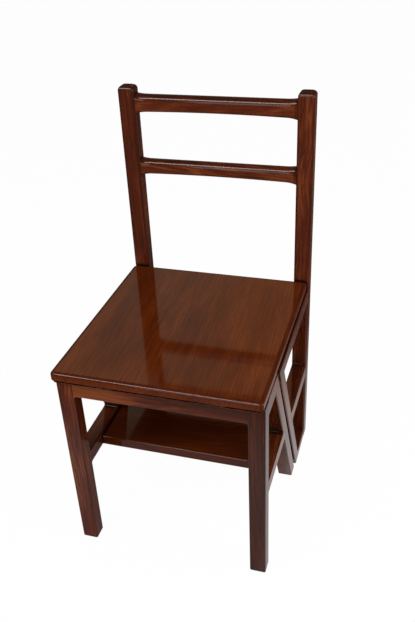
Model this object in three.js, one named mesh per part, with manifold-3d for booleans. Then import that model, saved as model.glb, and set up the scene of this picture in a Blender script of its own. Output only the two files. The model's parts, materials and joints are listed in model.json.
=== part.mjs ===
// Folding step stool chair: a hardwood chair whose seat, back and rear legs flip forward over
// two hinges under the seat's front edge, and then stand in front of the fixed section as a ladder.
// Millimetres, +Z up, the front faces -Y, and the origin is on the floor under the middle.
// While the chair is built, Y is measured rearward from the seat board's front edge.

import * as THREE from 'three';
import { mergeVertices } from 'three/addons/utils/BufferGeometryUtils.js';
import Module from 'manifold-3d';

const wasm = await Module();
wasm.setup();

// Seat board
const seatWidth = 420;
const seatDepth = 453;
const seatHeight = 456;
const seatThickness = 21;
const seatEdgeRadius = 5;
const seatCornerRadius = 7.5;
const sideOverhang = 3.5;
const rearSideOverhang = 0.5;

// Front section, which stays on the floor
const legWidth = 33.5;
const legDepth = 31.5;
const topRailHeight = 40;
const apronThickness = 22;
const apronSetback = 1;
const seatSeam = 0.8;
const frontDiagonalThickness = 31;
const frontDiagonalTopReach = 128;
const footToPost = 111;
const lowerRailTop = 231;
const lowerRailHeight = 32;
const lowerTreadSetback = 101;
const lowerTreadThickness = 22;
const treadLift = 1;
const nosingInset = 4;
const middleTreadThickness = 20;

// Folding section, which carries the seat board
const postWidth = 35;
const postDepth = 33;
const postHeight = 877;
const postTopRadius = 9;
const rearDiagonalThickness = 30;
const diagonalGapAtTop = 3;
const diagonalGapAtFoot = 8;
const rearFootClearance = 1.5;
const seatRailHeight = 33;
const stepRailTop = 225;
const stepRailHeight = 34;
const stepTreadDepth = 120;
const stepTreadThickness = 20;
const bottomRailHeight = 22;
const bottomTreadThickness = 18;
const bottomTreadInset = 5;
const seatBackRailDepth = 24;
const backRailSetback = 7;
const backRailDepth = 22;
const backTopRailDrop = 18;
const backTopRailHeight = 38;
const backRailSpacing = 142;
const backLowerRailHeight = 34;
const backRailArch = 3;
const backRailFlare = 3;
const backRailFlareLength = 14;
const backRailEdgeRadius = 7;

// Timber edges and joinery
const edgeRadius = 4;
const railEdgeRadius = 3;
const footRoundShare = 1.4;
const jointGap = 0.3;
const tenonLength = 10;
const tenonThickness = 10;
const tenonShoulder = 6;
const tongueDepth = 6;
const tongueThickness = 8;

// Hinges, with their axis in the seam under the seat's front overhang
const hingeLength = 50;
const hingeInset = 96;
const hingeLip = 6.1;
const hingeThrow = 6.5;
const knuckleRadius = 2.5;
const knuckleCount = 5;
const pinRadius = 1.2;
const pinProud = 0.6;
const pinClearance = 0.1;
const leafThickness = 1.6;
const leafWidth = 24;
const screwPitch = 16;
const screwHeadRadius = 3;
const screwHeadHeight = 1.4;
const screwShankRadius = 1.4;
const screwLength = 13;
const screwTip = 3;
const screwSink = 0.1;

// How finely round shapes are cut
const cornerSegments = 2;
const railSegments = 5;
const bevelSegments = 2;
const roundSegments = 16;
const screwSegments = 12;
const cutOverrun = 2;
const weldTolerance = 0.0001;

// Heights and places worked out from the sizes above
const seatUnderside = seatHeight - seatThickness;
const frameTop = seatUnderside - seatSeam;
const frameFront = hingeLip + hingeThrow;
const outerX = seatWidth / 2 - sideOverhang;
const legInnerX = outerX - legWidth;
const rearOuterX = seatWidth / 2 - rearSideOverhang;
const postInnerX = rearOuterX - postWidth;
const legRear = frameFront + legDepth;
const railBottom = frameTop - topRailHeight;
const seatRailTop = seatUnderside - jointGap;
const seatRailBottom = seatRailTop - seatRailHeight;
const postFront = seatDepth;
const postRear = postFront + postDepth;
const backTopRailTop = postHeight - backTopRailDrop;
const backLowerRailTop = backTopRailTop - backRailSpacing;
const overallDepth = postRear;
const axisY = hingeLip;
const axisZ = seatUnderside - seatSeam / 2;
const apronFront = frameFront + apronSetback;
const apronRear = apronFront + apronThickness;
const footRadius = footRoundShare * edgeRadius;

// The two pairs of diagonals lean alike, and their faces are straight lines in the side view
const frontDiagonalFootReach = postFront - footToPost;
const frontDiagonalLean = (frontDiagonalFootReach - frontDiagonalTopReach) / frameTop;
const frontDiagonalSpan = frontDiagonalThickness * Math.hypot(1, frontDiagonalLean);
const frontDiagonalRear = (z) => frontDiagonalFootReach - frontDiagonalLean * z;
const frontDiagonalFront = (z) => frontDiagonalRear(z) - frontDiagonalSpan;
const gapGrowth = (diagonalGapAtFoot - diagonalGapAtTop) / frameTop;
const rearDiagonalFront = (z) => frontDiagonalRear(z) + diagonalGapAtFoot - gapGrowth * z;
const rearDiagonalSpan = rearDiagonalThickness * Math.hypot(1, frontDiagonalLean + gapGrowth);
const rearDiagonalRear = (z) => rearDiagonalFront(z) + rearDiagonalSpan;

const rosewood = (name, color) => new THREE.MeshStandardMaterial({
  name, color, roughness: 0.32, metalness: 0,
});
const frameWood = () => rosewood('dark_hardwood', 0x4a2212);
const boardWood = () => rosewood('polished_board', 0x5a2b14);
const brass = () => new THREE.MeshStandardMaterial({
  name: 'aged_brass', color: 0xa8833f, roughness: 0.38, metalness: 1,
});

// Geometry helpers

function solidOf(geometry) {
  const bare = geometry.clone();
  bare.deleteAttribute('normal');
  bare.deleteAttribute('uv');
  const welded = mergeVertices(bare, weldTolerance);
  return new wasm.Manifold(new wasm.Mesh({
    numProp: 3,
    vertProperties: new Float32Array(welded.attributes.position.array),
    triVerts: new Uint32Array(welded.index.array),
  }));
}

function geometryOf(solid) {
  const { vertProperties, triVerts } = solid.getMesh();
  const geometry = new THREE.BufferGeometry();
  geometry.setAttribute('position', new THREE.BufferAttribute(vertProperties, 3));
  geometry.setIndex(new THREE.BufferAttribute(triVerts, 1));
  return geometry;
}

function combine(geometry, added, removed) {
  let solid = solidOf(geometry);
  for (const piece of added) solid = solid.add(solidOf(piece));
  for (const piece of removed) solid = solid.subtract(solidOf(piece));
  return geometryOf(solid);
}

// A box is given by its lowest and highest x, y and z.
const middle = ([low, high]) => (low + high) / 2;
const extent = ([low, high]) => high - low;
const around = (centre, width) => [centre - width / 2, centre + width / 2];

function boxGeometry({ x, y, z }) {
  const geometry = new THREE.BoxGeometry(extent(x), extent(y), extent(z));
  return geometry.translate(middle(x), middle(y), middle(z));
}

function grown({ x, y, z }, by) {
  const wider = ([low, high]) => [low - by, high + by];
  return { x: wider(x), y: wider(y), z: wider(z) };
}

// The x range of a piece on one side of the chair, from its inner to its outer face.
const sideRange = (sign, inner, outer) => (sign > 0 ? [inner, outer] : [-outer, -inner]);

// A closed outline, anticlockwise through corners of [u, v, rounding radius].
function outline(corners) {
  const shape = new THREE.Shape();
  corners.forEach(([u, v, radius], index) => {
    const corner = new THREE.Vector2(u, v);
    const toBefore = new THREE.Vector2(...corners.at(index - 1)).sub(corner).normalize();
    const toAfter = new THREE.Vector2(...corners[(index + 1) % corners.length]).sub(corner).normalize();
    if (radius > 0) {
      const half = toBefore.angleTo(toAfter) / 2;
      const inward = toBefore.clone().add(toAfter).setLength(radius / Math.sin(half));
      const centre = corner.clone().add(inward);
      const setback = radius / Math.tan(half);
      const start = corner.clone().addScaledVector(toBefore, setback).sub(centre);
      const end = corner.clone().addScaledVector(toAfter, setback).sub(centre);
      shape.absarc(centre.x, centre.y, radius, start.angle(), end.angle(), false);
    } else if (index === 0) {
      shape.moveTo(u, v);
    } else {
      shape.lineTo(u, v);
    }
  });
  shape.closePath();
  return shape;
}

const rectangle = (u, v, radius) => outline([
  [u[0], v[0], radius], [u[1], v[0], radius], [u[1], v[1], radius], [u[0], v[1], radius],
]);

// Extrudes a shape from the low to the high end of a range, its end faces' edges rounded.
function extruded(shape, range, radius, curveSegments = cornerSegments) {
  const geometry = new THREE.ExtrudeGeometry(shape, {
    depth: extent(range) - 2 * radius,
    curveSegments,
    bevelEnabled: radius > 0,
    bevelThickness: radius,
    bevelSize: radius,
    bevelOffset: -radius,
    bevelSegments,
  });
  return geometry.translate(0, 0, range[0] + radius);
}

const axisX = new THREE.Vector3(1, 0, 0);
const axisYUnit = new THREE.Vector3(0, 1, 0);
const axisZUnit = new THREE.Vector3(0, 0, 1);
const turnYZ = new THREE.Matrix4().makeBasis(axisYUnit, axisZUnit, axisX);
const turnZX = new THREE.Matrix4().makeBasis(axisZUnit, axisX, axisYUnit);

// A shape drawn in side view (y, z), extruded across the chair.
const acrossChair = (shape, x, radius) => extruded(shape, x, radius).applyMatrix4(turnYZ);

// A shape drawn in front view (z, x), extruded from front to back.
function frontToBack(shape, y, radius) {
  return extruded(shape, y, radius, railSegments).applyMatrix4(turnZX);
}

function barAlongX(radius, x, centre, length) {
  const geometry = new THREE.CylinderGeometry(radius, radius, length, roundSegments);
  return geometry.rotateZ(Math.PI / 2).translate(x, centre.y, centre.z);
}

// The two sections of the chair

const chair = new THREE.Group();
chair.position.set(0, -overallDepth / 2, 0);
const frontSection = new THREE.Group();
const foldingSection = new THREE.Group();
chair.add(frontSection, foldingSection);

function addPiece(section, name, geometry, material) {
  geometry.computeBoundingBox();
  const centre = geometry.boundingBox.getCenter(new THREE.Vector3());
  const mesh = new THREE.Mesh(geometry.translate(-centre.x, -centre.y, -centre.z), material);
  mesh.name = name;
  mesh.position.copy(centre);
  section.add(mesh);
}

const sides = [['left', -1], ['right', 1]];

// Joinery: each tenon reaches as far into its own rail as it does into the mortise.
const frontMemberX = [legInnerX, outerX];
const rearMemberX = [postInnerX, rearOuterX];
const sideTenonX = (sign, memberX) => sideRange(sign, ...around(middle(memberX), tenonThickness));
const shouldered = (z) => [z[0] + tenonShoulder, z[1] - tenonShoulder];
const endTenon = (x, faceY, z) => ({ x, y: around(faceY, 2 * tenonLength), z: shouldered(z) });
const crossTenon = (sign, innerX, y, z) => ({
  x: sideRange(sign, innerX - tenonLength, innerX + tenonLength),
  y: around(middle(y), tenonThickness),
  z: shouldered(z),
});
const tongue = (sign, innerX, y, z) => ({
  x: sideRange(sign, innerX - tenonLength, innerX + tongueDepth),
  y,
  z: around(middle(z), tongueThickness),
});
const solids = (boxes) => boxes.map(boxGeometry);
const mortises = (boxes) => boxes.map((box) => boxGeometry(grown(box, jointGap)));

// Height ranges of the rails and treads
const topRailZ = [railBottom, frameTop];
const seatRailZ = [seatRailBottom, seatRailTop];
const lowerRailZ = [lowerRailTop - lowerRailHeight, lowerRailTop];
const stepRailZ = [stepRailTop - stepRailHeight, stepRailTop];
const bottomRailZ = [rearFootClearance, rearFootClearance + bottomRailHeight];
const lowerTreadBottom = lowerRailZ[0] + treadLift;
const lowerTreadZ = [lowerTreadBottom, lowerTreadBottom + lowerTreadThickness];
const middleTreadZ = [frameTop - middleTreadThickness, frameTop];
const stepTreadTop = stepRailTop - treadLift;
const stepTreadZ = [stepTreadTop - stepTreadThickness, stepTreadTop];
const bottomTreadBottom = bottomRailZ[0] + treadLift;
const bottomTreadZ = [bottomTreadBottom, bottomTreadBottom + bottomTreadThickness];
const apronY = [apronFront, apronRear];
const seatBackRailY = around((postFront + postRear) / 2, seatBackRailDepth);
const backRailY = [postFront + backRailSetback, postFront + backRailSetback + backRailDepth];
const backTopRailZ = [backTopRailTop - backTopRailHeight, backTopRailTop];
const backLowerRailZ = [backLowerRailTop - backLowerRailHeight, backLowerRailTop];

// Front-to-back ranges of the treads, and of the tongues that the rails hold
const lowerTreadY = [lowerTreadSetback, frontDiagonalRear(lowerTreadZ[1]) - nosingInset];
const lowerTongueY = [
  lowerTreadY[0] + tenonShoulder,
  frontDiagonalFront(lowerTreadZ[1]) - tenonLength,
];
const middleTreadY = [apronRear + jointGap, frontDiagonalRear(frameTop)];
const middleTongueY = [legRear + tenonShoulder, middleTreadY[1] - tenonShoulder];
const stepTreadFront = rearDiagonalFront(stepTreadZ[0]) + nosingInset;
const stepTreadY = [stepTreadFront, stepTreadFront + stepTreadDepth];
const stepTongueY = [
  rearDiagonalRear(stepTreadZ[0]) + tenonLength,
  stepTreadY[1] - tenonShoulder,
];
const bottomTreadY = [rearDiagonalFront(bottomTreadZ[0]) + nosingInset, postRear - bottomTreadInset];
const bottomTongueY = [
  rearDiagonalRear(bottomTreadZ[0]) + tenonShoulder,
  postFront - tenonShoulder,
];

// Tenons of one side frame, by the joint that each one makes
function frameTenons(sign) {
  const frontX = sideTenonX(sign, frontMemberX);
  const rearX = sideTenonX(sign, rearMemberX);
  const upright = (x, face, frontY, span) => ({
    x,
    y: around(frontY + span / 2, span / 2),
    z: around(face, 2 * tenonLength),
  });
  return {
    apron: crossTenon(sign, legInnerX, apronY, topRailZ),
    topRailToLeg: endTenon(frontX, legRear, topRailZ),
    lowerRailToLeg: endTenon(frontX, legRear, lowerRailZ),
    lowerRailToDiagonal: endTenon(frontX, frontDiagonalFront(middle(lowerRailZ)), lowerRailZ),
    diagonalToTopRail: upright(
      frontX, railBottom, frontDiagonalFront(railBottom), frontDiagonalSpan,
    ),
    seatRailToPost: endTenon(rearX, postFront, seatRailZ),
    stepRailToPost: endTenon(rearX, postFront, stepRailZ),
    stepRailToDiagonal: endTenon(rearX, rearDiagonalRear(middle(stepRailZ)), stepRailZ),
    bottomRailToPost: endTenon(rearX, postFront, bottomRailZ),
    bottomRailToDiagonal: endTenon(rearX, rearDiagonalRear(middle(bottomRailZ)), bottomRailZ),
    diagonalToSeatRail: upright(
      rearX, seatRailBottom, rearDiagonalFront(seatRailBottom), rearDiagonalSpan,
    ),
    seatBackRail: crossTenon(sign, postInnerX, seatBackRailY, seatRailZ),
    backTopRail: crossTenon(sign, postInnerX, backRailY, backTopRailZ),
    backLowerRail: crossTenon(sign, postInnerX, backRailY, backLowerRailZ),
    lowerTongue: tongue(sign, legInnerX, lowerTongueY, lowerTreadZ),
    middleTongue: tongue(sign, legInnerX, middleTongueY, middleTreadZ),
    stepTongue: tongue(sign, postInnerX, stepTongueY, stepTreadZ),
    bottomTongue: tongue(sign, postInnerX, bottomTongueY, bottomTreadZ),
  };
}
const tenons = { left: frameTenons(-1), right: frameTenons(1) };
const bothSides = (joint) => [tenons.left[joint], tenons.right[joint]];

// A side-frame member drawn in side view, with its own tenons and the mortises cut in it.
function addSideMember(section, name, sign, memberX, corners, radius, ownTenons, cutTenons) {
  const body = acrossChair(outline(corners), sideRange(sign, ...memberX), radius);
  const geometry = combine(body, solids(ownTenons), mortises(cutTenons));
  addPiece(section, name, geometry, frameWood());
}

// A rail between slanted or upright ends, given by the y of each end at a height.
const railCorners = (z, startY, endY) => [
  [startY(z[0]), z[0], 0], [endY(z[0]), z[0], 0], [endY(z[1]), z[1], 0], [startY(z[1]), z[1], 0],
];
const upTo = (y) => () => y;

function buildFrontSideFrame([side, sign]) {
  const joint = tenons[side];
  const clearOfLeg = upTo(legRear + jointGap);
  addSideMember(frontSection, `front_leg_${side}`, sign, frontMemberX, [
    [frameFront, 0, footRadius], [legRear, 0, footRadius],
    [legRear, frameTop, 0], [frameFront, frameTop, footRadius],
  ], edgeRadius, [], [joint.apron, joint.topRailToLeg, joint.lowerRailToLeg]);

  const diagonalTop = railBottom - jointGap;
  addSideMember(frontSection, `front_diagonal_leg_${side}`, sign, frontMemberX, [
    [frontDiagonalFront(0), 0, footRadius], [frontDiagonalRear(0), 0, footRadius],
    [frontDiagonalRear(diagonalTop), diagonalTop, 0],
    [frontDiagonalFront(diagonalTop), diagonalTop, 0],
  ], edgeRadius, [joint.diagonalToTopRail], [joint.lowerRailToDiagonal]);

  addSideMember(
    frontSection, `front_top_rail_${side}`, sign, frontMemberX,
    railCorners(topRailZ, clearOfLeg, frontDiagonalRear), railEdgeRadius,
    [joint.topRailToLeg], [joint.diagonalToTopRail, joint.middleTongue],
  );

  addSideMember(
    frontSection, `front_lower_rail_${side}`, sign, frontMemberX,
    railCorners(lowerRailZ, clearOfLeg, (z) => frontDiagonalFront(z) - jointGap), railEdgeRadius,
    [joint.lowerRailToLeg, joint.lowerRailToDiagonal], [joint.lowerTongue],
  );
}

function buildRearSideFrame([side, sign]) {
  const joint = tenons[side];
  const clearOfPost = upTo(postFront - jointGap);
  const clearOfDiagonal = (z) => rearDiagonalRear(z) + jointGap;
  addSideMember(foldingSection, `back_post_${side}`, sign, rearMemberX, [
    [postFront, 0, footRadius], [postRear, 0, footRadius],
    [postRear, postHeight, postTopRadius], [postFront, postHeight, postTopRadius],
  ], edgeRadius, [], [
    joint.seatRailToPost, joint.stepRailToPost, joint.bottomRailToPost,
    joint.seatBackRail, joint.backTopRail, joint.backLowerRail,
  ]);

  const diagonalFoot = bottomRailZ[0];
  const diagonalTop = seatRailBottom - jointGap;
  addSideMember(foldingSection, `rear_diagonal_${side}`, sign, rearMemberX, [
    [rearDiagonalFront(diagonalFoot), diagonalFoot, footRadius],
    [rearDiagonalRear(diagonalFoot), diagonalFoot, 0],
    [rearDiagonalRear(diagonalTop), diagonalTop, 0],
    [rearDiagonalFront(diagonalTop), diagonalTop, 0],
  ], edgeRadius, [joint.diagonalToSeatRail], [
    joint.stepRailToDiagonal, joint.bottomRailToDiagonal,
  ]);

  addSideMember(
    foldingSection, `seat_side_rail_${side}`, sign, rearMemberX,
    railCorners(seatRailZ, rearDiagonalFront, clearOfPost), railEdgeRadius,
    [joint.seatRailToPost], [joint.diagonalToSeatRail],
  );

  addSideMember(
    foldingSection, `upper_step_rail_${side}`, sign, rearMemberX,
    railCorners(stepRailZ, clearOfDiagonal, clearOfPost), railEdgeRadius,
    [joint.stepRailToPost, joint.stepRailToDiagonal], [joint.stepTongue],
  );

  addSideMember(
    foldingSection, `bottom_rail_${side}`, sign, rearMemberX,
    railCorners(bottomRailZ, clearOfDiagonal, clearOfPost), railEdgeRadius,
    [joint.bottomRailToPost, joint.bottomRailToDiagonal], [joint.bottomTongue],
  );
}

// A board or rail across the chair, its section a rectangle with rounded arrises.
function addCrossMember(section, name, innerX, y, z, radius, joint, material, removed = []) {
  const reach = innerX - jointGap;
  const body = acrossChair(rectangle(y, z, radius), [-reach, reach], 0);
  addPiece(section, name, combine(body, solids(bothSides(joint)), removed), material);
}

// A back rail in front view: its lower edge arches up, and both edges flare out at the posts.
// It is drawn too long, so that cutting it to length leaves square ends.
function backRailShape([low, high]) {
  const end = postInnerX;
  const flare = end - backRailFlareLength;
  const turn = end - backRailFlareLength / 2;
  const waste = end + 2 * postWidth;
  const shape = new THREE.Shape();
  shape.moveTo(low - backRailFlare, -waste);
  shape.lineTo(low - backRailFlare, -end);
  shape.quadraticCurveTo(low, -turn, low, -flare);
  shape.quadraticCurveTo(low + 2 * backRailArch, 0, low, flare);
  shape.quadraticCurveTo(low, turn, low - backRailFlare, end);
  shape.lineTo(low - backRailFlare, waste);
  shape.lineTo(high + backRailFlare, waste);
  shape.lineTo(high + backRailFlare, end);
  shape.quadraticCurveTo(high, turn, high, flare);
  shape.lineTo(high, -flare);
  shape.quadraticCurveTo(high, -turn, high + backRailFlare, -end);
  shape.lineTo(high + backRailFlare, -waste);
  shape.closePath();
  return shape;
}

function addBackRail(name, z, joint) {
  const long = frontToBack(backRailShape(z), backRailY, backRailEdgeRadius);
  const waste = sides.map(([, sign]) => boxGeometry({
    x: sideRange(sign, postInnerX - jointGap, postInnerX + 3 * postWidth),
    y: [backRailY[0] - cutOverrun, backRailY[1] + cutOverrun],
    z: around(middle(z), 2 * extent(z)),
  }));
  const trimmed = combine(long, [], waste);
  addPiece(foldingSection, name, combine(trimmed, solids(bothSides(joint)), []), frameWood());
}

// Hinges: two leaves let in flush, with interleaved knuckles on one pin

const hingeCentres = sides.map(([side, sign]) => [side, sign * (outerX - hingeInset)]);
const axis = { y: axisY, z: axisZ };
const plateFront = axisY + knuckleRadius + jointGap;
const plateRear = plateFront + leafWidth;
const screwRowY = (apronFront + plateRear) / 2;
const knuckleLength = hingeLength / knuckleCount;
const screwOffsets = [-screwPitch, 0, screwPitch];

const plateZ = {
  lower: [frameTop - leafThickness, frameTop],
  upper: [seatUnderside, seatUnderside + leafThickness],
};
const plateY = { lower: [apronFront, plateRear], upper: [plateFront, plateRear] };
const plateOf = (x, leaf) => ({ x: around(x, hingeLength), y: plateY[leaf], z: plateZ[leaf] });

// The lower leaf owns the first, third and last knuckle, and the upper leaf those between.
function knucklesOf(x, leaf) {
  const centres = [];
  for (let index = leaf === 'lower' ? 0 : 1; index < knuckleCount; index += 2) {
    centres.push(x + (index + 0.5) * knuckleLength - hingeLength / 2);
  }
  return centres;
}

// A countersunk screw pointing down from its head's face at z = 0, fattened for its hole.
function screwGeometry(fattened) {
  const profile = [
    [0, fattened], [screwHeadRadius + fattened, fattened],
    [screwShankRadius + fattened, -screwHeadHeight],
    [screwShankRadius + fattened, -screwLength + screwTip],
    [0, -screwLength - fattened],
  ];
  const points = profile.map(([radius, height]) => new THREE.Vector2(radius, height)).reverse();
  return new THREE.LatheGeometry(points, screwSegments).rotateX(Math.PI / 2);
}

// The screws of a leaf point away from its visible face: down in the lower one, up in the upper.
function screwsOf(x, leaf, fattened) {
  return screwOffsets.map((offset) => {
    const geometry = screwGeometry(fattened);
    if (leaf === 'upper') geometry.rotateX(Math.PI);
    const faceZ = leaf === 'upper' ? seatUnderside + screwSink : frameTop - screwSink;
    return geometry.translate(x + offset, screwRowY, faceZ);
  });
}

// What a leaf, its screws and the turning knuckles need cut out of the apron or the board.
function hingeCuts(x, leaf) {
  const recess = grown(plateOf(x, leaf), jointGap);
  const open = leaf === 'lower'
    ? [recess.z[0], recess.z[1] + cutOverrun]
    : [recess.z[0] - cutOverrun, recess.z[1]];
  return [boxGeometry({ ...recess, z: open }), ...screwsOf(x, leaf, jointGap)];
}

// The board also has a groove over the knuckles, and under its lip a notch for each lower web,
// which lies there once the seat is turned over.
function boardCuts(x) {
  const low = seatUnderside - cutOverrun;
  const groove = {
    x: around(x, hingeLength + 2 * pinProud + 2 * jointGap),
    y: [axisY - knuckleRadius - jointGap, plateFront + jointGap],
    z: [low, axisZ + knuckleRadius + jointGap],
  };
  const notches = knucklesOf(x, 'lower').map((centreX) => ({
    x: around(centreX, knuckleLength + jointGap),
    y: [-cutOverrun, axisY],
    z: [low, 2 * axisZ - plateZ.lower[0] + jointGap],
  }));
  return [...solids([groove, ...notches]), ...hingeCuts(x, 'upper')];
}

function buildLeaf(x, leaf) {
  const length = knuckleLength - jointGap;
  const centres = knucklesOf(x, leaf);
  const knuckles = centres.map((centreX) => barAlongX(knuckleRadius, centreX, axis, length));
  const webs = solids(centres.map((centreX) => ({
    x: around(centreX, length), y: [axisY, plateY[leaf][0] + leafThickness], z: plateZ[leaf],
  })));
  const bore = barAlongX(pinRadius + pinClearance, x, axis, hingeLength + cutOverrun);
  const plate = boxGeometry(plateOf(x, leaf));
  return combine(plate, [...webs, ...knuckles], [bore, ...screwsOf(x, leaf, jointGap)]);
}

function buildHinge([side, x]) {
  const sections = { lower: frontSection, upper: foldingSection };
  for (const [leaf, section] of Object.entries(sections)) {
    addPiece(section, `hinge_${leaf}_leaf_${side}`, buildLeaf(x, leaf), brass());
    screwsOf(x, leaf, 0).forEach((screw, index) => {
      const geometry = combine(screw, [], []);
      addPiece(section, `hinge_${leaf}_screw_${side}_${index + 1}`, geometry, brass());
    });
  }
  const pin = barAlongX(pinRadius, x, axis, hingeLength + 2 * pinProud);
  addPiece(frontSection, `hinge_pin_${side}`, combine(pin, [], []), brass());
}

// Seat board: one wide board, all its edges rounded, let in from below for the hinge leaves.
function buildSeatBoard() {
  const plan = rectangle(
    [-seatWidth / 2, seatWidth / 2], [0, seatDepth - jointGap], seatCornerRadius,
  );
  const body = extruded(plan, [seatUnderside, seatHeight], seatEdgeRadius);
  const cuts = hingeCentres.flatMap(([, x]) => boardCuts(x));
  addPiece(foldingSection, 'seat_board', combine(body, [], cuts), boardWood());
}

sides.forEach(buildFrontSideFrame);
addCrossMember(
  frontSection, 'front_apron', legInnerX, apronY, topRailZ, railEdgeRadius, 'apron',
  frameWood(), hingeCentres.flatMap(([, x]) => hingeCuts(x, 'lower')),
);
addCrossMember(
  frontSection, 'lower_tread', legInnerX, lowerTreadY, lowerTreadZ, edgeRadius, 'lowerTongue',
  boardWood(),
);
addCrossMember(
  frontSection, 'middle_tread', legInnerX, middleTreadY, middleTreadZ, railEdgeRadius,
  'middleTongue', boardWood(),
);

buildSeatBoard();
sides.forEach(buildRearSideFrame);
addCrossMember(
  foldingSection, 'seat_back_rail', postInnerX, seatBackRailY, seatRailZ, railEdgeRadius,
  'seatBackRail', frameWood(),
);
addCrossMember(
  foldingSection, 'upper_step_tread', postInnerX, stepTreadY, stepTreadZ, edgeRadius,
  'stepTongue', boardWood(),
);
addCrossMember(
  foldingSection, 'bottom_step_tread', postInnerX, bottomTreadY, bottomTreadZ, edgeRadius,
  'bottomTongue', boardWood(),
);
addBackRail('back_top_rail', backTopRailZ, 'backTopRail');
addBackRail('back_lower_rail', backLowerRailZ, 'backLowerRail');
hingeCentres.forEach(buildHinge);

export default chair;
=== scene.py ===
"""Folding step stool chair in polished dark hardwood, seen from above its front right corner.

Metres, +Z up, the front faces -Y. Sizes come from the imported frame, and what the frame's boxes
can't tell, such as the slant of the diagonals, is named below.
"""

import json
import math
import random

import bmesh
import bpy
from mathutils import Matrix, Vector


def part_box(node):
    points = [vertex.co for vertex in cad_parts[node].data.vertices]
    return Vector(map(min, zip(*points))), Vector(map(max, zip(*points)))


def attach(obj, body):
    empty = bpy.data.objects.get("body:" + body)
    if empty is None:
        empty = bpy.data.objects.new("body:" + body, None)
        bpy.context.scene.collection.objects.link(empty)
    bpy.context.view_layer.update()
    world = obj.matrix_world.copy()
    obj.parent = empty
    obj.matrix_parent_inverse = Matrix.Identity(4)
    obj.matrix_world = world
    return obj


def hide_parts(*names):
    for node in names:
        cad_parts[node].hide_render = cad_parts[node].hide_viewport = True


SIDES = ("left", "right")
ALONG_X = (1.0, 0.0, 0.0)
ALONG_Y = (0.0, 1.0, 0.0)
ALONG_Z = (0.0, 0.0, 1.0)

# The slanting seam between the two sections, as distances behind the seat board's front edge
SEAM_TOP_REACH = 0.128
SEAM_FOOT_REACH = 0.342
FRONT_DIAGONAL_THICKNESS = 0.031
REAR_DIAGONAL_THICKNESS = 0.030
GAP_AT_TOP = 0.0014
GAP_AT_FOOT = 0.008

# Arrises: one number is the radius of a round one, a pair the width and drop of an elliptical one
FRAME_ARRIS = 0.0028
TREAD_ARRIS = 0.0030
POST_ARRIS = 0.0042
POST_TOP_DOME = (0.0095, 0.0095)
LEG_TOP_ARRIS = (0.0025, 0.0025)
FOOT_ARRIS = (0.0048, 0.0048)
FOOT_CORNER = 0.0050

# How finely curves are divided, and the angle in degrees above which an edge stays sharp
BEVEL_STEPS = 4
CORNER_STEPS = 6
ARRIS_STEPS = 9
SMOOTH_ANGLE = 32.0

# Rails of the side frames: set in from the legs' faces, buried in the members that they meet,
# with fillets in some of the corners
RAIL_INSET = 0.0006
RAIL_EMBED = 0.0030
JOINT_FILLET = 0.0048
TOUCHING = 0.0001

# Seat board: a lip and a groove below its face, and a right edge that stands in from the frame
BOARD_SIDE_ARRIS = (0.0085, 0.0042)
BOARD_FRONT_ARRIS = (0.0085, 0.0058)
BOARD_CORNER = 0.0080
BOARD_RIGHT_INSET = 0.0045
BOARD_LIP_HEIGHT = 0.0008
BOARD_LIP_ARRIS = (0.0003, 0.0003)
BOARD_LIP_INSET = (0.0032, 0.0008)
BOARD_GROOVE_DEPTH = 0.0045
BOARD_GROOVE_HEIGHT = 0.0037

# Back rails: a rounded section whose ends swell and sweep forward into the posts
BACK_RAILS = ("back_top_rail", "back_lower_rail")
BACK_RAIL_TOP_ARRIS = 0.0130
BACK_RAIL_REAR_ARRIS = 0.0075
BACK_RAIL_LOW_ARRIS = 0.0055
BACK_RAIL_FLARE = 0.0030
BACK_RAIL_SWEEP = 0.0040
BACK_RAIL_FLARE_LENGTH = 0.026
BACK_RAIL_ARCH = 0.0030
BACK_RAIL_WORN_TOP = 0.0009
BACK_RAIL_STEPS = 64

# Hinges, let in flush between the seat board and the apron
LEAF_THICKNESS = 0.0016
KNUCKLE_RADIUS = 0.0025
KNUCKLE_COUNT = 5
PIN_PROUD = 0.0006
HINGE_CLEARANCE = 0.0003
CUT_OVERRUN = 0.0020

# Pieces that were sawn from lighter or darker stock, by a part of their name, and pieces with painted light or
# shade
# The upper step tread is painted lighter, a painted light, and the lower tread darker, a painted shade, for the
# light that the seat keeps off them
STOCK_AND_PAINTED_SHADES = (
    ("back_top_rail", 0.18), ("back_lower_rail", 0.26), ("front_leg_right", -0.46),
    ("front_leg_left", -0.05), ("back_post_left", -0.08), ("step_tread", 0.70),
    ("lower_tread", -0.28),
)

# The tops of the back rails are painted darker the more they face up, a painted shade
PAINTED_TOP_SHADE = -0.55

# The apron is light at its left end and darkens between two places, in metres along it
APRON_SHADES = (0.54, -0.10)
APRON_DARKENS = (-0.10, 0.02)
APRON_STEPS = 36

# How each piece lay in its log: a direction that fixes its turn about the fibres, the most
# degrees that it lay askew, and the ranges of its middle's place from the pith
TURN_REFERENCE = (0.31, 0.77, 0.55)
ASKEW = 3.5
FROM_PITH_X = (0.03, 0.08)
FROM_PITH_Y = (-0.06, 0.06)
FROM_PITH_Z = (0.0, 3.0)

# Faces narrower than this are worn arrises, and a higher power keeps end grain off slanting faces
NARROW_FACE = 0.003
END_GRAIN_POWER = 4

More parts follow.
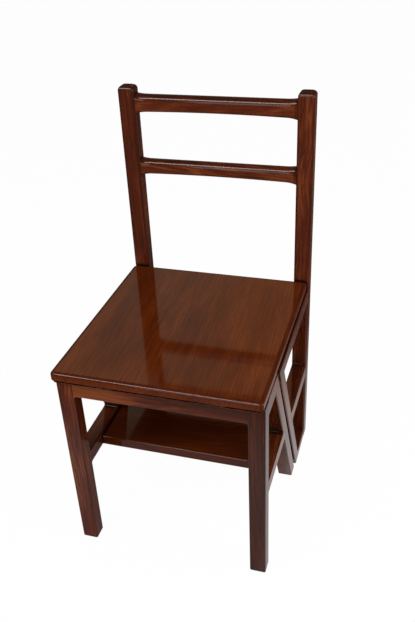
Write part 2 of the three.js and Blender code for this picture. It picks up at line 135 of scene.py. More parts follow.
# Noise in the wood, with its scale in cycles per metre across the fibres, twice, and along them.
# A range holds the two values between which the noise rises from 0 to 1
NOISES = {
    "bend": {"scale": (4.0, 4.0, 3.5), "detail": 2.0},
    "patches": {"scale": (16.0, 16.0, 4.5), "detail": 3.0, "roughness": 0.6},
    "streaks": {"scale": (210.0, 210.0, 5.0), "detail": 3.0, "roughness": 0.6},
    "fibres": {"scale": (900.0, 900.0, 14.0), "detail": 3.0, "roughness": 0.6},
    "contours": {"scale": (45.0, 45.0, 1.6), "detail": 3.0, "distortion": 0.3},
    "arches": {"scale": (70.0, 70.0, 8.0), "detail": 2.0, "roughness": 0.4, "distortion": 0.4},
    "pores": {"scale": (1700.0, 1700.0, 50.0), "detail": 2.0},
}
FIBRE_BEND = 0.030
PATCH_RANGE = (0.34, 0.66)
STREAK_RANGE = (0.3, 0.7)
PORE_RANGE = (0.56, 0.70)

# Growth rings about the pith, stretched along the fibres
RINGS = {
    "Scale": 44.0, "Distortion": 5.0, "Detail": 3.0, "Detail Scale": 0.7, "Detail Roughness": 0.6,
}
RING_STRETCH = (1.0, 1.0, 0.1)

# Dark lines: single ones, and nested arches in the patches that are light
LINE_WIDTH = 0.03
ARCH_COUNT = 7.0
ARCH_WIDTH = 0.16
ARCH_PATCHES = (0.35, 0.85)
ARCH_DARKNESS = 0.7

# The tones at which the wood's dark, middle and light colours lie, what an arris adds to the
# tone, and how dark the pores are
TONE_STOPS = (0.10, 0.50, 0.92)
ARRIS_TONE = -0.45
PORE_STAIN = 0.42

# Old polish in the joints, and painted shade: the occlusion also darkens recesses and the frame
# under the seat board's overhang as a painted contact shadow. How near another surface has to
# be, how open the places are between which it fades out, and how dark it is
POLISH_AND_SHADE_REACH = 0.012
POLISH_AND_SHADE_SAMPLES = 8
POLISH_AND_SHADE_OPENNESS = (0.58, 0.88)
POLISH_AND_SHADE_DARKNESS = 0.88

# The fibres' slight relief, the pores' share in it, and the lacquer over the wood
WOOD_RELIEF = {"Strength": 0.20, "Distance": 0.00015}
PORE_RELIEF = 0.35
LACQUER = {
    "Roughness": 0.45,
    "Specular IOR Level": 0.0,
    "Coat Weight": 0.50,
    "Coat Roughness": 0.07,
    "Coat IOR": 1.5,
}

# The two woods: their colours, the shares of patches, rings, streaks and fibres in the tone, and
# how dark the lines and the end grain are
WOODS = {
    "frame_wood": {
        "name": "frame_hardwood",
        "dark": (0.0330, 0.0070, 0.0026),
        "middle": (0.0770, 0.0138, 0.0044),
        "light": (0.1650, 0.0415, 0.0105),
        "vein": (0.0120, 0.0034, 0.0018),
        "polish_and_shade": (0.0040, 0.0016, 0.0010),
        "shares": (0.40, 0.16, 0.26, 0.18),
        "veining": 0.46,
        "end_stain": 0.8,
    },
    "board_wood": {
        "name": "board_hardwood",
        "dark": (0.0440, 0.0074, 0.0014),
        "middle": (0.0770, 0.0130, 0.0021),
        "light": (0.1180, 0.0245, 0.0038),
        "vein": (0.0260, 0.0055, 0.0018),
        "polish_and_shade": (0.0060, 0.0018, 0.0010),
        "shares": (0.38, 0.12, 0.26, 0.24),
        "veining": 0.25,
        "end_stain": 0.1,
    },
}

# Aged brass
BRASS_STAIN = {"scale": (160.0, 160.0, 160.0), "detail": 4.0, "roughness": 0.6}
BRASS_SCRATCHES = {"scale": (90.0, 1400.0, 900.0), "detail": 2.0}
BRASS_COLOURS = ((0.34, (0.018, 0.011, 0.006)), (0.72, (0.110, 0.066, 0.028)))
BRASS_STAIN_RANGE = (0.3, 0.7)
BRASS_ROUGHNESS = (0.55, 0.34)
BRASS_RELIEF = {"Strength": 0.15, "Distance": 0.0001}

# The floor in reflections: a white sheet that gives way to a dim room between two distances from
# its centre. It is in the chair's shade out to the second distance of the shade, apart from what
# lies beside the chair on the right
FLOOR_SIZE = 30.0
FLOOR_COLOUR = (0.80, 0.80, 0.80)
FLOOR_WHITE_SHARE = 0.975
SHEET_CENTRE = (-0.05, -0.05, 0.0)
SHEET_ENDS = (0.31, 0.91)
ROOM_FLOOR_LIGHT = 0.10
SHEET_SHADE = (0.12, 0.60)
SHEET_SHADE_LIGHT = 0.30
SHEET_BESIDE = (0.17, 0.215)

# The world in reflections: a dim room with a glow behind the chair on the left, between these
# limits of a direction's x, y and z, that turns from a pale colour to a warm one
WHITE = (1.0, 1.0, 1.0)
AMBIENT = (0.38, 0.38, 0.38)
DIM_ROOM = (0.05, 0.05, 0.05)
GLOW_RISES_Z = (0.36, 0.44)
GLOW_FALLS_Z = (0.61, 0.67)
GLOW_ABOVE = 0.12
GLOW_BEHIND_Y = (0.0, 0.4)
GLOW_ENDS_X = (0.0, 0.15)
GLOW_TURNS_X = (-0.30, -0.17)
PALE_GLOW = (0.58, 0.54, 0.40)
WARM_GLOW = (0.95, 0.50, 0.26)

# Softboxes: name, place, width, height and power in watts
SOFTBOXES = (
    ("key", (-0.9, -1.55, 2.55), 1.7, 0.6, 42.0),
    ("front", (0.2, -2.6, 1.2), 2.4, 1.4, 24.0),
    ("fill", (2.1, -0.3, 1.3), 1.4, 1.8, 38.0),
)
LIT_PLACE = (0.0, 0.0, 0.4)

# Camera, fitted to the photograph: place relative to the middle of the seat board's front edge
# on the floor, angles in degrees, and focal length in pixels of the 622-pixel-high frame
CAMERA_FROM_FRONT_EDGE = (0.4248, -0.9785, 1.2579)
CAMERA_AZIMUTH = 17.743
CAMERA_ELEVATION = 31.206
CAMERA_ROLL = -2.772
CAMERA_FOCAL_PIXELS = 727.9
FRAME_HEIGHT_PIXELS = 622
SENSOR_SIZE = 36.0

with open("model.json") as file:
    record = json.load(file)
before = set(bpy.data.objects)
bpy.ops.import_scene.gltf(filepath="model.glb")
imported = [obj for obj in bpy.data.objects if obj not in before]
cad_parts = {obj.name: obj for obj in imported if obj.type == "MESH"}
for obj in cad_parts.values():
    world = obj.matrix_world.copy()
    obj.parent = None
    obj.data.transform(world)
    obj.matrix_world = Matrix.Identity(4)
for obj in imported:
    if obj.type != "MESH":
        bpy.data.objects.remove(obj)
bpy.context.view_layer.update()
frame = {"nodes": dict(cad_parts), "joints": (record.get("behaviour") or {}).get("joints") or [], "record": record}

bodies = frame["record"]["behaviour"]["bodies"]
body_of = {node: body for body, nodes in bodies.items() for node in nodes}
slot_of = {row["node"]: row["material_slot"] for row in frame["record"]["subparts"]}

# Places that the frame's boxes and its hinge give
BOARD_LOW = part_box("seat_board")[0]
FRONT_EDGE = BOARD_LOW.y
FRAME_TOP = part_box("front_leg_right")[1].z
LEG_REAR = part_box("front_leg_right")[1].y
LEG_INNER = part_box("front_leg_right")[0].x
POST_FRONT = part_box("back_post_right")[0].y
POST_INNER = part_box("back_post_right")[0].x
AXIS_Y, AXIS_Z = frame["joints"][0]["pos_m"][1:]


# Lines of the side frames in side view, each given as y at a height


def seam(z):
    """The front diagonals' rear face."""
    slope = (SEAM_FOOT_REACH - SEAM_TOP_REACH) / FRAME_TOP
    return FRONT_EDGE + SEAM_FOOT_REACH - slope * z


def behind_gap(z):
    """The rear diagonals' front face."""
    return seam(z) + GAP_AT_FOOT - (GAP_AT_FOOT - GAP_AT_TOP) / FRAME_TOP * z


def lean_of(line):
    """The direction in which a line runs up."""
    return Vector((0.0, line(1.0) - line(0.0), 1.0)).normalized()


FRONT_DIAGONAL_SPAN = FRONT_DIAGONAL_THICKNESS / lean_of(seam).z
REAR_DIAGONAL_SPAN = REAR_DIAGONAL_THICKNESS / lean_of(behind_gap).z
FRONT_DIAGONAL_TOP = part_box("front_top_rail_right")[0].z + RAIL_EMBED
REAR_DIAGONAL_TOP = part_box("seat_side_rail_right")[0].z + RAIL_EMBED


def leg_rear(z):
    return LEG_REAR


def post_front(z):
    return POST_FRONT


def front_diagonal_front(z):
    return seam(z) - FRONT_DIAGONAL_SPAN


def rear_diagonal_rear(z):
    return behind_gap(z) + REAR_DIAGONAL_SPAN


def inside_seam(z):
    return seam(z) - RAIL_EMBED


def inside_gap(z):
    return behind_gap(z) + RAIL_EMBED


# Outlines


def quarter_turn(i, steps):
    """The angle after i of the steps of a quarter turn."""
    return math.radians(90.0 * i / steps)


def arc(centre, radius, start, end):
    """Points along an arc, angles in degrees."""
    angles = [
        math.radians(start + (end - start) * i / CORNER_STEPS) for i in range(CORNER_STEPS + 1)
    ]
    return [(centre[0] + radius * math.cos(a), centre[1] + radius * math.sin(a)) for a in angles]


def rounded(corners):
    """A closed outline through (u, v, radius) corners, each rounded to its radius."""
    points = []
    for i, (u, v, radius) in enumerate(corners):
        corner = Vector((u, v))
        if radius == 0:
            points.append((u, v))
            continue
        before = (Vector(corners[i - 1][:2]) - corner).normalized()
        after = (Vector(corners[(i + 1) % len(corners)][:2]) - corner).normalized()
        half = before.angle(after) / 2
        centre = corner + (before + after).normalized() * radius / math.sin(half)
        start = corner + before * radius / math.tan(half) - centre
        end = corner + after * radius / math.tan(half) - centre
        first = math.degrees(math.atan2(start.y, start.x))
        turn = math.degrees(math.atan2(start.cross(end), start.dot(end)))
        points += arc(centre, radius, first, first + turn)
    return points


def rounded_rectangle(u, v, radius):
    return rounded([
        (u[0], v[0], radius), (u[1], v[0], radius), (u[1], v[1], radius), (u[0], v[1], radius),
    ])


# Meshes


def new_object(name, data):
    obj = bpy.data.objects.new(name, data)
    bpy.context.scene.collection.objects.link(obj)
    return obj


def object_from(name, bm):
    bmesh.ops.recalc_face_normals(bm, faces=bm.faces)
    mesh = bpy.data.meshes.new(name)
    bm.to_mesh(mesh)
    bm.free()
    return new_object(name, mesh)


def side_prism(name, outline, low, high, is_square):
    """A side-view outline extruded across the chair. The arrises along its edges are rounded,
    apart from the edges whose middle point is_square picks, which butt against another piece."""
    bm = bmesh.new()
    near = [bm.verts.new((low, y, z)) for y, z in outline]
    far = [bm.verts.new((high, y, z)) for y, z in outline]
    bm.faces.new(near)
    bm.faces.new(far)
    count = len(outline)
    soft = []
    for i in range(count):
        j = (i + 1) % count
        bm.faces.new((near[i], near[j], far[j], far[i]))
        middle = ((outline[i][0] + outline[j][0]) / 2, (outline[i][1] + outline[j][1]) / 2)
        if not is_square(*middle):
            soft += [bm.edges.get((near[i], near[j])), bm.edges.get((far[i], far[j]))]
    bmesh.ops.recalc_face_normals(bm, faces=bm.faces)
    bmesh.ops.bevel(
        bm, geom=soft, offset=FRAME_ARRIS, offset_type="OFFSET", segments=BEVEL_STEPS,
        profile=0.5, affect="EDGES", clamp_overlap=False,
    )
    return object_from(name, bm)


def lofted(name, rings):
    """A closed body through rings of equally many points."""
    bm = bmesh.new()
    loops = [[bm.verts.new(point) for point in ring] for ring in rings]
    for a, b in zip(loops, loops[1:]):
        for j in range(len(a)):
            k = (j + 1) % len(a)
            bm.faces.new((a[j], a[k], b[k], b[j]))
    bm.faces.new(loops[0])
    bm.faces.new(loops[-1])
    return object_from(name, bm)


def inset_of(depth, arris):
    """How far in an elliptical arris lies at a depth below its start."""
    width, drop = arris
    return width * (1 - math.sqrt(1 - max(0.0, 1 - depth / drop) ** 2))


def low_arris(z, arris):
    """Levels (height, inset in x, inset in y) of an elliptical arris that rises from z."""
    levels = []
    for i in range(ARRIS_STEPS + 1):
        turn = quarter_turn(i, ARRIS_STEPS)
        inset = arris[0] * (1 - math.sin(turn))
        levels.append((z + arris[1] * (1 - math.cos(turn)), inset, inset))
    return levels


def top_arris(z, side, front):
    """Levels of elliptical arrises that end at z, one in x and one in y."""
    levels = []
    reach = max(side[1], front[1])
    for i in range(ARRIS_STEPS, -1, -1):
        depth = reach * (1 - math.cos(quarter_turn(i, ARRIS_STEPS)))
        levels.append((z - depth, inset_of(depth, side), inset_of(depth, front)))
    return levels


def rounded_block(name, x, y, corner, levels):
    """An upright block with rounded corners, given by its levels from the bottom up."""
    rings = []
    for height, in_x, in_y in levels:
        outline = rounded_rectangle((x[0] + in_x, x[1] - in_x), (y[0] + in_y, y[1] - in_y), corner)
        rings.append([(u, v, height) for u, v in outline])
    return lofted(name, rings)


def smooth(obj):
    mesh = obj.data
    for polygon in mesh.polygons:
        polygon.use_smooth = True
    mesh.set_sharp_from_angle(angle=math.radians(SMOOTH_ANGLE))
    weights = obj.modifiers.new("weighted_normals", "WEIGHTED_NORMAL")
    weights.keep_sharp = True


def carve(obj, boxes):
    """Cuts boxes of (lowest, highest) corners out of a piece."""
    bm = bmesh.new()
    for low, high in boxes:
        place = Matrix.Translation((low + high) / 2) @ Matrix.Diagonal((*(high - low), 1.0))
        bmesh.ops.create_cube(bm, size=1.0, matrix=place)
    cutter = object_from("cutter", bm)
    cut = obj.modifiers.new("cut", "BOOLEAN")
    cut.operation = "DIFFERENCE"
    cut.solver = "EXACT"
    cut.use_self = True
    cut.object = cutter
    graph = bpy.context.evaluated_depsgraph_get()
    carved = bpy.data.meshes.new_from_object(obj.evaluated_get(graph))
    obj.modifiers.remove(cut)
    whole = obj.data
    carved.name = whole.name
    obj.data = carved
    bpy.data.meshes.remove(whole)
    bpy.data.objects.remove(cutter)


# What each vertex of the timber stores for its material


def store(obj, name, kind, key, values):
    """Gives each vertex its value, or the three numbers of its vector."""
    layer = obj.data.attributes.new(name, kind, "POINT")
    layer.data.foreach_set(key, values)


def apron_shade(x):
    low, high = APRON_DARKENS
    share = min(1.0, max(0.0, (x - low) / (high - low)))
    left, right = APRON_SHADES
    return left + (right - left) * share**2 * (3 - 2 * share)


def set_shade(obj, node):
    """Stores how much lighter than the rest of the stock the wood is, with painted light and shade on some pieces
    and a painted shade on the back rails' tops.
    """
    shade = next((value for part, value in STOCK_AND_PAINTED_SHADES if part in node), 0.0)
    # Painted shade: the back rails' faces get darker the more they turn up
    painted_top_shade = PAINTED_TOP_SHADE if node in BACK_RAILS else 0.0
    values = []
    for vertex in obj.data.vertices:
        if node == "front_apron":
            shade = apron_shade(vertex.co.x)
        values.append(shade + painted_top_shade * max(0.0, vertex.normal.z))
    store(obj, "shade", "FLOAT", "value", values)


def set_grain(obj, along, seed):
    """Stores where each vertex lies in the log that the piece was sawn from. The log's Z runs
    along the fibres."""
    draw = random.Random(seed)
    across = along.cross(Vector(TURN_REFERENCE)).normalized()
    other = along.cross(across)
    turn = Matrix.Rotation(math.radians(draw.uniform(-ASKEW, ASKEW)), 3, "X")
    sway = Matrix.Rotation(math.radians(draw.uniform(-ASKEW, ASKEW)), 3, "Y")
    pith = Vector([draw.uniform(*reach) for reach in (FROM_PITH_X, FROM_PITH_Y, FROM_PITH_Z)])
    corners = [Vector(corner) for corner in obj.bound_box]
    middle = sum(corners, Vector()) / len(corners)
    values = []
    for vertex in obj.data.vertices:
        p = vertex.co - middle
        local = Vector((p.dot(across), p.dot(other), p.dot(along)))
        values += [*(turn @ (sway @ local) + pith)]
    store(obj, "grain", "FLOAT_VECTOR", "vector", values)


def set_wear(obj):
    """Stores 1 where a vertex has only narrow faces about it, as on a rounded arris, else 0."""
    mesh = obj.data
    worn = [1.0] * len(mesh.vertices)
    for polygon in mesh.polygons:
        points = [mesh.vertices[i].co for i in polygon.vertices]
        longest = max((a - b).length for a, b in zip(points, points[1:] + points[:1]))
        if polygon.area / longest > NARROW_FACE:
            for i in polygon.vertices:
                worn[i] = 0.0
    store(obj, "wear", "FLOAT", "value", worn)


def set_end_grain(obj, along):
    """Stores 1 where the surface is cut across the fibres, else 0."""
    values = [abs(vertex.normal.dot(along)) ** END_GRAIN_POWER for vertex in obj.data.vertices]
    store(obj, "end_grain", "FLOAT", "value", values)


def finish_timber(obj, node, along):
    """Makes a mesh the wood of a node, with its fibres running along a direction."""
    along = Vector(along).normalized()
    smooth(obj)
    set_shade(obj, node)
    set_grain(obj, along, sum(ord(c) * (i + 1) for i, c in enumerate(node)))
    set_wear(obj)
    set_end_grain(obj, along)
    obj.data.materials.clear()
    obj.data.materials.append(timber[slot_of[node]])
    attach(obj, body_of[node])
    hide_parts(node)


# Materials


def opaque(colour):
    return (*colour, 1.0)


class Nodes:
    """Adds and links the shader nodes of a material or world."""

    def __init__(self, owner, output):
        owner.use_nodes = True
        self.owner = owner
        self.tree = owner.node_tree
        self.tree.nodes.clear()
        self.output = self.add(output)

    def add(self, kind, inputs=None, **settings):
        node = self.tree.nodes.new("ShaderNode" + kind)
        for key, value in settings.items():
            setattr(node, key, value)
        for key, value in (inputs or {}).items():
            if isinstance(value, bpy.types.NodeSocket):
                self.tree.links.new(value, node.inputs[key])
            else:
                node.inputs[key].default_value = value
        return node

    def attribute(self, name, output="Fac"):
        return self.add("Attribute", attribute_name=name).outputs[output]

    def maths(self, operation, a, b=0.0):
        return self.add("Math", {0: a, 1: b}, operation=operation).outputs[0]

    def vector_maths(self, operation, a, b):
        return self.add("VectorMath", {0: a, 1: b}, operation=operation).outputs["Vector"]

    def noise(self, vector, scale, detail, roughness=0.5, distortion=0.0):
        settings = {
            "Vector": self.vector_maths("MULTIPLY", vector, scale), "Scale": 1.0,
            "Detail": detail, "Roughness": roughness, "Distortion": distortion,
        }
        return self.add("TexNoise", settings).outputs["Fac"]

    def spread(self, value, low, high, to_low=0.0, to_high=1.0):
        """Eases from to_low, where the value is low, to to_high, where it is high."""
        limits = {
            "Value": value, "From Min": low, "From Max": high, "To Min": to_low, "To Max": to_high,
        }
        return self.add("MapRange", limits, interpolation_type="SMOOTHSTEP").outputs["Result"]

    def line(self, value, width):
        """1 where a value is a half, fading to 0 at a width from it."""
        distance = self.maths("ABSOLUTE", self.maths("SUBTRACT", value, 0.5))
        return self.spread(distance, 0.0, width, 1.0, 0.0)

    def mix(self, factor, a, b):
        return self.add("Mix", {0: factor, 2: a, 3: b}, data_type="FLOAT").outputs[0]

    def tint(self, factor, a, b):
        return self.add("Mix", {0: factor, 6: a, 7: b}, data_type="RGBA").outputs[2]

    def ramp(self, value, stops):
        node = self.add("ValToRGB", {"Fac": value})
        elements = node.color_ramp.elements
        while len(elements) < len(stops):
            elements.new(0.5)
        for element, (position, colour) in zip(elements, stops):
            element.position = position
            element.color = opaque(colour)
        return node.outputs["Color"]

    def ray_share(self, *kinds):
        """1 for rays of any of the kinds, else 0."""
        path = self.add("LightPath").outputs
        share = 0.0
        for kind in kinds:
            share = self.maths("MAXIMUM", share, path[f"Is {kind} Ray"])
        return share

    def done(self, shader):
        self.tree.links.new(shader, self.output.inputs["Surface"])
        return self.owner


def material_nodes(name):
    return Nodes(bpy.data.materials.new(name), "OutputMaterial")


def wood_figure(n):
    """The figure of the wood, as shares from 0 to 1: its patches, growth rings, streaks and
    fibres, then its dark lines, then its pores."""
    grain = n.attribute("grain", "Vector")
    bend = n.maths("MULTIPLY", n.noise(grain, **NOISES["bend"]), FIBRE_BEND)
    bend = n.add("CombineXYZ", {0: bend, 1: bend}).outputs[0]
    flow = n.vector_maths("ADD", grain, bend)
    patches = n.spread(n.noise(grain, **NOISES["patches"]), *PATCH_RANGE)
    rings = n.add(
        "TexWave", {"Vector": n.vector_maths("MULTIPLY", flow, RING_STRETCH), **RINGS},
        wave_type="RINGS", rings_direction="Z", wave_profile="SIN",
    ).outputs["Fac"]
    streaks = n.spread(n.noise(flow, **NOISES["streaks"]), *STREAK_RANGE)
    fibres = n.spread(n.noise(flow, **NOISES["fibres"]), *STREAK_RANGE)
    arches = n.maths("MULTIPLY", n.noise(flow, **NOISES["arches"]), ARCH_COUNT)
    arches = n.line(n.maths("FRACT", arches), ARCH_WIDTH)
    arches = n.maths("MULTIPLY", arches, n.spread(patches, *ARCH_PATCHES, 0.0, ARCH_DARKNESS))
    contours = n.line(n.noise(flow, **NOISES["contours"]), LINE_WIDTH)
    lines = n.maths("MAXIMUM", contours, arches)
    pores = n.spread(n.noise(flow, **NOISES["pores"]), *PORE_RANGE)
    return (patches, rings, streaks, fibres), lines, pores


def timber_material(name, dark, middle, light, vein, polish_and_shade, shares, veining, end_stain):
    """Dark figured hardwood under clear lacquer, with old polish and painted shade in its corners."""
    n = material_nodes(name)
    layers, lines, pores = wood_figure(n)
    patches, _, _, fibres = layers
    tone = n.attribute("shade")
    for share, layer in zip(shares, layers):
        tone = n.maths("ADD", tone, n.maths("MULTIPLY", layer, share))
    arrises = n.maths("MULTIPLY", n.attribute("wear"), ARRIS_TONE)
    tone = n.maths("ADD", tone, n.maths("MULTIPLY", arrises, patches))
    colour = n.ramp(tone, list(zip(TONE_STOPS, (dark, middle, light))))
    for place, stain in (
        (lines, veining), (pores, PORE_STAIN), (n.attribute("end_grain"), end_stain),
    ):
        colour = n.tint(n.maths("MULTIPLY", place, stain), colour, opaque(vein))
    # Old polish in joints, and painted shade in recesses and under overhangs, from the occlusion
    occlusion = n.add("AmbientOcclusion", {"Distance": POLISH_AND_SHADE_REACH}, samples=POLISH_AND_SHADE_SAMPLES)
    corners = n.spread(occlusion.outputs["AO"], *POLISH_AND_SHADE_OPENNESS, POLISH_AND_SHADE_DARKNESS, 0.0)
    colour = n.tint(corners, colour, opaque(polish_and_shade))
    height = n.mix(PORE_RELIEF, fibres, n.maths("SUBTRACT", 1.0, pores))
    bump = n.add("Bump", {"Height": height, **WOOD_RELIEF})
    shader = n.add(
        "BsdfPrincipled", {"Base Color": colour, "Normal": bump.outputs["Normal"], **LACQUER},
    )
    return n.done(shader.outputs["BSDF"])


def brass_material():
    n = material_nodes("aged_brass")
    place = n.add("TexCoord").outputs["Object"]
    stain = n.noise(place, **BRASS_STAIN)
    scratches = n.noise(place, **BRASS_SCRATCHES)
    bump = n.add("Bump", {"Height": scratches, **BRASS_RELIEF})
    shader = n.add(
        "BsdfPrincipled",
        {
            "Base Color": n.ramp(stain, BRASS_COLOURS),
            "Metallic": 1.0,
            "Roughness": n.spread(stain, *BRASS_STAIN_RANGE, *BRASS_ROUGHNESS),
            "Normal": bump.outputs["Normal"],
        },
    )
    return n.done(shader.outputs["BSDF"])


def floor_material():
    """Pale floor that shows white to the camera and keeps a soft shadow."""
    n = material_nodes("studio_floor")
    position = n.add("NewGeometry").outputs["Position"]
    beside = n.spread(n.add("SeparateXYZ", {0: position}).outputs["X"], *SHEET_BESIDE)
    from_centre = n.vector_maths("SUBTRACT", position, SHEET_CENTRE)
    reach = n.add("VectorMath", {0: from_centre}, operation="LENGTH").outputs["Value"]
    sheet = n.spread(reach, *SHEET_ENDS, 1.0, ROOM_FLOOR_LIGHT)
    shaded = n.mix(beside, n.spread(reach, *SHEET_SHADE, SHEET_SHADE_LIGHT, 1.0), 1.0)
    light = n.mix(n.ray_share("Camera"), n.maths("MULTIPLY", sheet, shaded), 1.0)
    seen = n.ray_share("Camera", "Glossy", "Transmission")
    pale = n.add("BsdfDiffuse", {"Color": opaque(FLOOR_COLOUR)})
    white = n.add("Emission", {"Color": opaque(WHITE), "Strength": light})
    mixed = n.add(
        "MixShader",
        {0: n.maths("MULTIPLY", seen, FLOOR_WHITE_SHARE), 1: pale.outputs[0], 2: white.outputs[0]},
    )
    return n.done(mixed.outputs[0])


# Members


def ranges(node):
    """The x, y and z ranges of a node."""
    return list(zip(*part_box(node)))


def upright(node, corner, top):
    """A leg or post, with the arris top about its top."""
    x, y, z = ranges(node)
    levels = low_arris(z[0], FOOT_ARRIS) + top_arris(z[1], top, top)
    obj = rounded_block(node + "_wood", x, y, corner, levels)
    finish_timber(obj, node, ALONG_Z)


def side_member(node, outline, along, is_square):
    """A member of a side frame, from its outline in side view."""
    x = ranges(node)[0]
    obj = side_prism(node + "_wood", outline, x[0] + RAIL_INSET, x[1] - RAIL_INSET, is_square)
    finish_timber(obj, node, along)


def diagonal(node, front, span, top):
    """A slanting leg in side view, cut level at the foot and at the rail above it."""
    foot = ranges(node)[2][0]
    outline = rounded([
        (front(foot), foot, FOOT_CORNER), (front(foot) + span, foot, FOOT_CORNER),
        (front(top) + span, top, 0), (front(top), top, 0),
    ])
    side_member(node, outline, lean_of(front), lambda y, z: abs(z - top) < TOUCHING)


def rail_edge(line, height, into, turned, fillet):
    """The corner of a rail at an end line. A filleted one flares into the member it meets.
    into is 1 at the start of the rail and -1 at its end, turned 1 at its top and -1 below."""
    buried = (line(height) - into * RAIL_EMBED, height)
    if not fillet:
        return [buried]
    f = JOINT_FILLET
    points = []
    for i in range(CORNER_STEPS + 1):
        turn = quarter_turn(i, CORNER_STEPS)
        z = height + turned * f * (1 - math.cos(turn))
        points.append((line(z) + into * f * (1 - math.sin(turn)), z))
    tip = height + turned * f
    return [(line(tip) - into * RAIL_EMBED, tip), *reversed(points)]


def side_rail(node, start, end, up=(False, False), down=(False, False)):
    """A rail of a side frame, between the members that its start and end lines touch, with
    fillets above (up) and below (down) at its two ends."""
    z = ranges(node)[2]
    outline = rail_edge(start, z[0], 1, -1, down[0])
    outline += reversed(rail_edge(end, z[0], -1, -1, down[1]))
    outline += rail_edge(end, z[1], -1, 1, up[1])
    outline += reversed(rail_edge(start, z[1], 1, 1, up[0]))

    def is_buried(y, height):
        ends = (start(height) - RAIL_EMBED, end(height) + RAIL_EMBED)
        return any(abs(y - place) < TOUCHING for place in ends)

    side_member(node, outline, ALONG_Y, is_buried)


def cross_board(node, half):
    """A tread or plain rail across the chair, its four long arrises rounded."""
    _, y, z = ranges(node)
    section = rounded_rectangle(y, z, TREAD_ARRIS)
    obj = lofted(node + "_wood", [[(x, u, v) for u, v in section] for x in (-half, half)])
    finish_timber(obj, node, ALONG_X)


def back_rail(node):
    """A back rail: its lower edge arches, and its ends swell and sweep forward to the posts."""
    _, y, z = ranges(node)
    half = POST_INNER + RAIL_EMBED
    bottom = z[0] + BACK_RAIL_FLARE
    top = z[1] - BACK_RAIL_WORN_TOP - BACK_RAIL_FLARE
    rings = []
    for i in range(BACK_RAIL_STEPS + 1):
        x = half * math.sin(math.radians(180.0 * i / BACK_RAIL_STEPS - 90.0))
        swell = max(0.0, 1 - (half - abs(x)) / BACK_RAIL_FLARE_LENGTH) ** 2
        rise = BACK_RAIL_ARCH * (1 - (x / half) ** 2)
        front = y[0] - BACK_RAIL_SWEEP * swell
        low = bottom + rise - BACK_RAIL_FLARE * swell
        high = top + BACK_RAIL_FLARE * swell
        section = rounded([
            (front, low, BACK_RAIL_LOW_ARRIS), (y[1], low, BACK_RAIL_LOW_ARRIS),
            (y[1], high, BACK_RAIL_REAR_ARRIS), (front, high, BACK_RAIL_TOP_ARRIS),
        ])
        rings.append([(x, u, v) for u, v in section])
    finish_timber(lofted(node + "_wood", rings), node, ALONG_X)


# Seat board and apron, with what the hinges' leaves, knuckles and webs need cut out of them


def leaf_recess(side, leaf, front, z):
    """The recess for a leaf's plate."""
    low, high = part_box(f"hinge_{leaf}_leaf_{side}")
    c = HINGE_CLEARANCE
    return Vector((low.x - c, front, z[0])), Vector((high.x + c, high.y + c, z[1]))


def board_cuts(side):
    """The upper leaf's recess, room for the turning knuckles, and slots for the webs that carry
    the lower leaf's knuckles. As the board turns over, they pass as far above the axis as they
    reach below it."""
    low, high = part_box(f"hinge_lower_leaf_{side}")
    c = HINGE_CLEARANCE
    under = BOARD_LOW.z - CUT_OVERRUN
    plate_top = BOARD_LOW.z + LEAF_THICKNESS + c
    groove_rear = AXIS_Y + KNUCKLE_RADIUS + 2 * c
    boxes = [leaf_recess(side, "upper", groove_rear - c, (under, plate_top))]
    boxes.append((
        Vector((low.x - PIN_PROUD - c, AXIS_Y - KNUCKLE_RADIUS - c, under)),
        Vector((high.x + PIN_PROUD + c, groove_rear, AXIS_Z + KNUCKLE_RADIUS + c)),
    ))
    pitch = (high.x - low.x) / KNUCKLE_COUNT
    web_top = 2 * AXIS_Z - FRAME_TOP + LEAF_THICKNESS + c
    for i in range(0, KNUCKLE_COUNT, 2):
        boxes.append((
            Vector((low.x + i * pitch - c, BOARD_LOW.y - CUT_OVERRUN, under)),
            Vector((low.x + (i + 1) * pitch + c, AXIS_Y, web_top)),
        ))
    return boxes


def board_levels(z):
    """A lip below, a groove above it like the seam of a frame, and the face with its arris."""
    lip_top = z[0] + BOARD_LIP_HEIGHT
    groove_top = lip_top + BOARD_GROOVE_HEIGHT
    lip = low_arris(z[0], BOARD_LIP_ARRIS) + top_arris(lip_top, BOARD_LIP_ARRIS, BOARD_LIP_ARRIS)
    levels = [(h, u + BOARD_LIP_INSET[0], v + BOARD_LIP_INSET[1]) for h, u, v in lip]
    levels.append((lip_top, BOARD_GROOVE_DEPTH, BOARD_GROOVE_DEPTH))
    levels.append((groove_top, BOARD_GROOVE_DEPTH, BOARD_GROOVE_DEPTH))
    levels.append((groove_top, 0.0, 0.0))
    return levels + top_arris(z[1], BOARD_SIDE_ARRIS, BOARD_FRONT_ARRIS)


def seat_board():
    x, y, z = ranges("seat_board")
    x = (x[0], x[1] - BOARD_RIGHT_INSET)
    obj = rounded_block("seat_board_wood", x, y, BOARD_CORNER, board_levels(z))
    carve(obj, [box for side in SIDES for box in board_cuts(side)])
    finish_timber(obj, "seat_board", ALONG_Y)


def apron_stations():
    """The places along the apron where it has a ring of points: its ends, the fillets beside
    the legs, and even steps between them."""
    stations = [-LEG_INNER - RAIL_EMBED]
    for i in range(CORNER_STEPS + 1):
        drawn_in = JOINT_FILLET * (1 - math.cos(quarter_turn(i, CORNER_STEPS)))
        stations.append(-LEG_INNER + drawn_in)
    reach = LEG_INNER - JOINT_FILLET
    between = [reach * (2 * i / APRON_STEPS - 1) for i in range(1, APRON_STEPS)]
    return stations + between + [-x for x in reversed(stations)]


